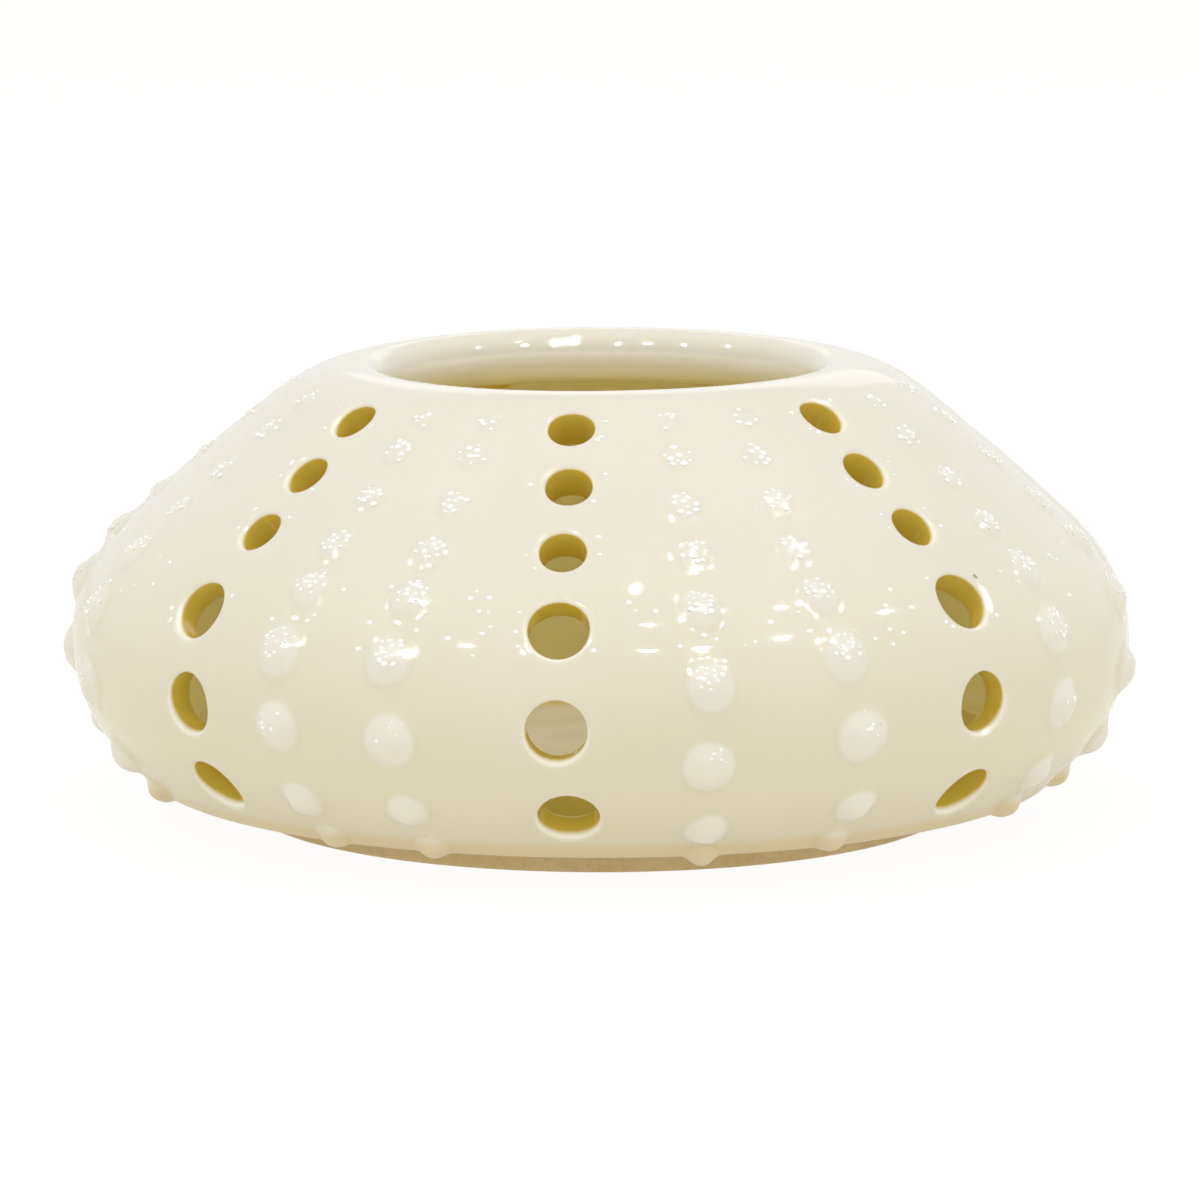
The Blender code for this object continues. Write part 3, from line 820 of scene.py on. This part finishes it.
class Shader:
    """Shorthand for building a Principled material's nodes."""

    def __init__(self, name):
        self.material = bpy.data.materials.new(name)
        self.material.use_nodes = True
        self.tree = self.material.node_tree
        self.surface = self.tree.nodes["Principled BSDF"]
        self.place = self.add("ShaderNodeTexCoord").outputs["Object"]

    def add(self, kind, **settings):
        node = self.tree.nodes.new(kind)
        for key, value in settings.items():
            setattr(node, key, value)
        return node

    def feed(self, socket, value):
        """Set an input, or link it when the value is a socket or a colour of three numbers."""
        if isinstance(value, bpy.types.NodeSocket):
            self.tree.links.new(value, socket)
        elif isinstance(value, tuple):
            socket.default_value = (*value, 1.0)
        else:
            socket.default_value = value

    def mix(self, factor, first, second, blend='MIX'):
        node = self.add("ShaderNodeMix", data_type='RGBA', blend_type=blend)
        self.feed(node.inputs[0], factor)
        self.feed(node.inputs[6], first)
        self.feed(node.inputs[7], second)
        return node.outputs[2]

    def math(self, operation, first, second):
        node = self.add("ShaderNodeMath", operation=operation)
        self.feed(node.inputs[0], first)
        self.feed(node.inputs[1], second)
        return node.outputs[0]

    def span(self, value, low, high, out_low=0.0, out_high=1.0):
        """A smooth step of the value from low to high."""
        node = self.add("ShaderNodeMapRange", interpolation_type='SMOOTHSTEP')
        self.feed(node.inputs[0], value)
        for index, number in enumerate((low, high, out_low, out_high), start=1):
            node.inputs[index].default_value = number
        return node.outputs[0]

    def noise(self, size, detail=2.0):
        """Noise whose lumps are about this size in metres."""
        node = self.add("ShaderNodeTexNoise")
        self.feed(node.inputs["Vector"], self.place)
        node.inputs["Scale"].default_value = 0.5 / size
        node.inputs["Detail"].default_value = detail
        return node.outputs["Fac"]

    def specks(self, spacing, radius, share):
        """1 inside round specks that sit in this share of the cells of a scattered grid."""
        node = self.add("ShaderNodeTexVoronoi")
        self.feed(node.inputs["Vector"], self.place)
        node.inputs["Scale"].default_value = 1 / spacing
        parts = self.add("ShaderNodeSeparateColor")
        self.feed(parts.inputs[0], node.outputs["Color"])
        chosen = self.math('GREATER_THAN', parts.outputs[0], 1 - share)
        reach = self.math('MULTIPLY', parts.outputs[1], radius / spacing)
        near = self.math('LESS_THAN', node.outputs["Distance"], reach)
        return self.math('MULTIPLY', chosen, near)

    def attribute(self, name):
        return self.add("ShaderNodeAttribute", attribute_name=name).outputs["Fac"]

    def height(self):
        parts = self.add("ShaderNodeSeparateXYZ")
        self.feed(parts.inputs[0], self.place)
        return parts.outputs[2]

    def bump(self, value, distance, under=None):
        node = self.add("ShaderNodeBump")
        node.inputs["Strength"].default_value = 1.0
        node.inputs["Distance"].default_value = distance
        self.feed(node.inputs["Height"], value)
        if under:
            self.feed(node.inputs["Normal"], under)
        return node.outputs[0]

    def finish(self, colour, roughness, normal, coat):
        self.feed(self.surface.inputs["Base Color"], colour)
        self.feed(self.surface.inputs["Roughness"], roughness)
        self.feed(self.surface.inputs["Normal"], normal)
        self.feed(self.surface.inputs["Coat Weight"], coat)
        self.feed(self.surface.inputs["Coat Roughness"], 0.03)
        return self.material


def make_glaze(name, painted_low_colour):
    """Ivory glaze: paler over the slip beads, clouded, with a few iron specks and a slightly rippled,
    glossy face. Painted on it: white glints on the blisters, shade that makes it darker and warmer
    low on the wall, a darker ring of shade at each bead's foot, a darker tan band of shade round its
    lower edge, a paler tone just inside the lip against the shade there, and amber shade inside and in
    the holes."""
    shader = Shader(name)
    depth = shader.attribute("depth")
    lift = shader.attribute("lift")
    cloud = shader.noise(CLOUD_SIZE, 1.0)
    grain = shader.noise(GRAIN_SIZE, 2.0)
    # painted shade: the glaze turns darker and warmer towards the bottom of the wall
    colour = shader.mix(shader.span(shader.height(), *LOW_SHADE_HEIGHTS), GLAZE_HIGH, painted_low_colour)
    colour = shader.mix(shader.span(cloud, 0.2, 0.85), colour,
                        shader.mix(1.0, colour, GLAZE_CLOUD, 'MULTIPLY'))
    # painted shade: a faint darker ring where each bead's skirt meets the wall
    bead_foot_shade = shader.math('MULTIPLY', shader.span(lift, 0.01, 0.1), shader.span(lift, 0.3, 0.1))
    colour = shader.mix(shader.math('MULTIPLY', bead_foot_shade, 0.25), colour,
                        shader.mix(1.0, colour, BEAD_FOOT_SHADE, 'MULTIPLY'))
    colour = shader.mix(shader.span(lift, 0.04, 0.35), colour, GLAZE_OVER_SLIP)
    # painted highlight: the blisters' tops turn white as glints
    colour = shader.mix(shader.span(lift, 1.0, 1.25), colour, BLISTER_GLINT_WHITE)
    # painted shade: the wall's lower edge turns darker tan where it curves under towards the foot
    edge_shade_start, edge_shade_end = (UNDERSIDE + above for above in EDGE_SHADE_HEIGHTS)
    edge_shade = shader.span(shader.height(), edge_shade_start, edge_shade_end, 0.0, EDGE_SHADE_SHARE)
    colour = shader.mix(edge_shade, colour, GLAZED_CLAY_AND_EDGE_SHADE)
    # painted light: the glaze paler just inside the lip, against the shade there
    colour = shader.mix(shader.span(depth, 0.0, 0.1), colour, UNDER_LIP_PAINTED_LIGHT)
    # painted shade: amber deep inside the pot
    colour = shader.mix(shader.span(depth, 0.1, 0.65), colour, INSIDE_AMBER_SHADE)
    # painted shade: amber in the holes' bores
    colour = shader.mix(shader.span(lift, 0.0, -0.9), colour, HOLE_AMBER_SHADE)
    colour = shader.mix(shader.math('MULTIPLY', shader.specks(*IRON_SCATTER), 0.6),
                        colour, IRON_SPECK)
    colour = shader.mix(shader.math('MULTIPLY', grain, 0.06), colour, GLAZE_GRAIN)
    ripple = shader.bump(shader.noise(RIPPLE[0], 1.0), RIPPLE[1])
    normal = shader.bump(shader.noise(FINE_RIPPLE[0], 1.0), FINE_RIPPLE[1], ripple)
    shader.feed(shader.surface.inputs["Coat Normal"], normal)
    shader.feed(shader.surface.inputs["Coat IOR"], 1.75)
    shader.feed(shader.surface.inputs["Specular IOR Level"], 0.0)
    return shader.finish(colour, shader.span(cloud, 0.3, 0.7, 0.26, 0.38), normal, 1.0)


def make_foot_material():
    """Buff clay under a thin wiped glaze, with dark grog specks."""
    shader = Shader("foot_clay")
    cloud = shader.noise(5 * MM, 4.0)
    grain = shader.noise(0.5 * MM, 3.0)
    colour = shader.mix(shader.span(cloud, 0.3, 0.7), CLAY_BARE, GLAZED_CLAY_AND_EDGE_SHADE)
    colour = shader.mix(shader.span(grain, 0.4, 0.75, 0.0, 0.35), colour, CLAY_GRAIN)
    colour = shader.mix(shader.math('MULTIPLY', shader.specks(*GROG_SCATTER), 0.7),
                        colour, IRON_SPECK)
    normal = shader.bump(grain, 0.05 * MM)
    return shader.finish(colour, shader.span(cloud, 0.3, 0.7, 0.7, 0.45), normal, 0.25)


# ---------------------------------------------------------------- studio

def make_floor_plane():
    """White floor that is partly its own light. The lens sees it nearly blown out."""
    bpy.ops.mesh.primitive_plane_add(size=FLOOR_SIZE)
    plane = bpy.context.object
    plane.name = "studio_floor"
    shader = Shader("studio_floor")
    shader.feed(shader.surface.inputs["Base Color"], FLOOR_COLOUR)
    shader.feed(shader.surface.inputs["Roughness"], 0.9)
    shader.feed(shader.surface.inputs["Specular IOR Level"], 0.0)
    glow = shader.add("ShaderNodeEmission")
    glow.inputs["Strength"].default_value = FLOOR_LIGHT
    blend = shader.add("ShaderNodeMixShader")
    seen = shader.add("ShaderNodeLightPath").outputs["Is Camera Ray"]
    share = shader.math('MULTIPLY', seen, FLOOR_SEEN_GLOW - FLOOR_GLOW)
    shader.feed(blend.inputs[0], shader.math('ADD', share, FLOOR_GLOW))
    shader.tree.links.new(shader.surface.outputs[0], blend.inputs[1])
    shader.tree.links.new(glow.outputs[0], blend.inputs[2])
    shader.tree.links.new(blend.outputs[0], shader.tree.nodes["Material Output"].inputs[0])
    plane.data.materials.append(shader.material)


def direction_to(azimuth, elevation):
    """Unit vector towards an azimuth and elevation in radians."""
    return Vector((math.sin(azimuth) * math.cos(elevation),
                   -math.cos(azimuth) * math.cos(elevation), math.sin(elevation)))


def add_panel(name, azimuth, elevation, size, power):
    """A panel of light, facing the pot."""
    direction = direction_to(math.radians(azimuth), math.radians(elevation))
    data = bpy.data.lights.new(name, 'AREA')
    data.shape = 'RECTANGLE'
    data.size, data.size_y = size
    data.energy = power
    light = bpy.data.objects.new(name, data)
    light.location = PANEL_AIM + direction * PANEL_DISTANCE
    light.rotation_mode = 'QUATERNION'
    light.rotation_quaternion = direction.to_track_quat('Z', 'Y')
    bpy.context.scene.collection.objects.link(light)
    return light


def make_lights():
    for ring, (elevation, azimuths, size, power) in enumerate(SOFT_RINGS):
        for index, azimuth in enumerate(azimuths):
            panel = add_panel(f"soft_{ring}_{index}", azimuth, elevation, size, power)
            panel.visible_glossy = elevation == BACK_SHEEN
    for ring, (elevation, azimuths, size, power) in enumerate(SPARKLE_RINGS):
        for index, azimuth in enumerate(azimuths):
            panel = add_panel(f"sparkle_{ring}_{index}", azimuth, elevation, size, power)
            panel.visible_diffuse = False


def make_world():
    """Soft surround, brighter at the horizon than overhead; the lens sees it as white."""
    world = bpy.data.worlds.new("studio")
    world.use_nodes = True
    tree = world.node_tree
    surround = tree.nodes["Background"]
    place = tree.nodes.new("ShaderNodeTexCoord")
    parts = tree.nodes.new("ShaderNodeSeparateXYZ")
    fade = tree.nodes.new("ShaderNodeMapRange")
    fade.interpolation_type = 'SMOOTHSTEP'
    for index, number in enumerate((0.0, SKY_FADE, SKY_HORIZON, SKY_OVERHEAD), start=1):
        fade.inputs[index].default_value = number
    tree.links.new(place.outputs["Generated"], parts.inputs[0])
    tree.links.new(parts.outputs[2], fade.inputs[0])
    tree.links.new(fade.outputs[0], surround.inputs["Strength"])
    white = tree.nodes.new("ShaderNodeBackground")
    white.inputs["Strength"].default_value = 1.0
    white.inputs["Color"].default_value = (1, 1, 1, 1)
    surround.inputs["Color"].default_value = (1, 1, 1, 1)
    blend = tree.nodes.new("ShaderNodeMixShader")
    seen = tree.nodes.new("ShaderNodeLightPath")
    tree.links.new(seen.outputs["Is Camera Ray"], blend.inputs[0])
    tree.links.new(surround.outputs[0], blend.inputs[1])
    tree.links.new(white.outputs[0], blend.inputs[2])
    tree.links.new(blend.outputs[0], tree.nodes["World Output"].inputs[0])
    bpy.context.scene.world = world


def make_camera():
    """Long lens, looking a little down on the front column of holes."""
    data = bpy.data.cameras.new("camera")
    data.lens = CAMERA_LENS
    data.sensor_width = CAMERA_SENSOR
    camera = bpy.data.objects.new("camera", data)
    back = direction_to(CAMERA_AZIMUTH, CAMERA_ELEVATION)
    camera.location = CAMERA_PIVOT + back * CAMERA_DISTANCE
    look = CAMERA_AIM - camera.location
    camera.rotation_mode = 'QUATERNION'
    camera.rotation_quaternion = look.to_track_quat('-Z', 'Y')
    bpy.context.scene.collection.objects.link(camera)
    bpy.context.scene.camera = camera


glaze = make_glaze("ivory_glaze", GLAZE_LOW_PAINTED_SHADE)
make_wall(glaze)
# the floor's glaze is painted paler than the wall's, against the shade inside the pot
make_floor(make_glaze("floor_glaze", FLOOR_GLAZE_PAINTED_LIGHT))
make_foot(make_foot_material())
make_bead_rows(glaze)
make_floor_plane()
make_world()
make_lights()
make_camera()
bpy.context.scene.view_settings.view_transform = 'Standard'
bpy.context.scene.cycles.diffuse_bounces = 8
bpy.context.scene.cycles.max_bounces = 16
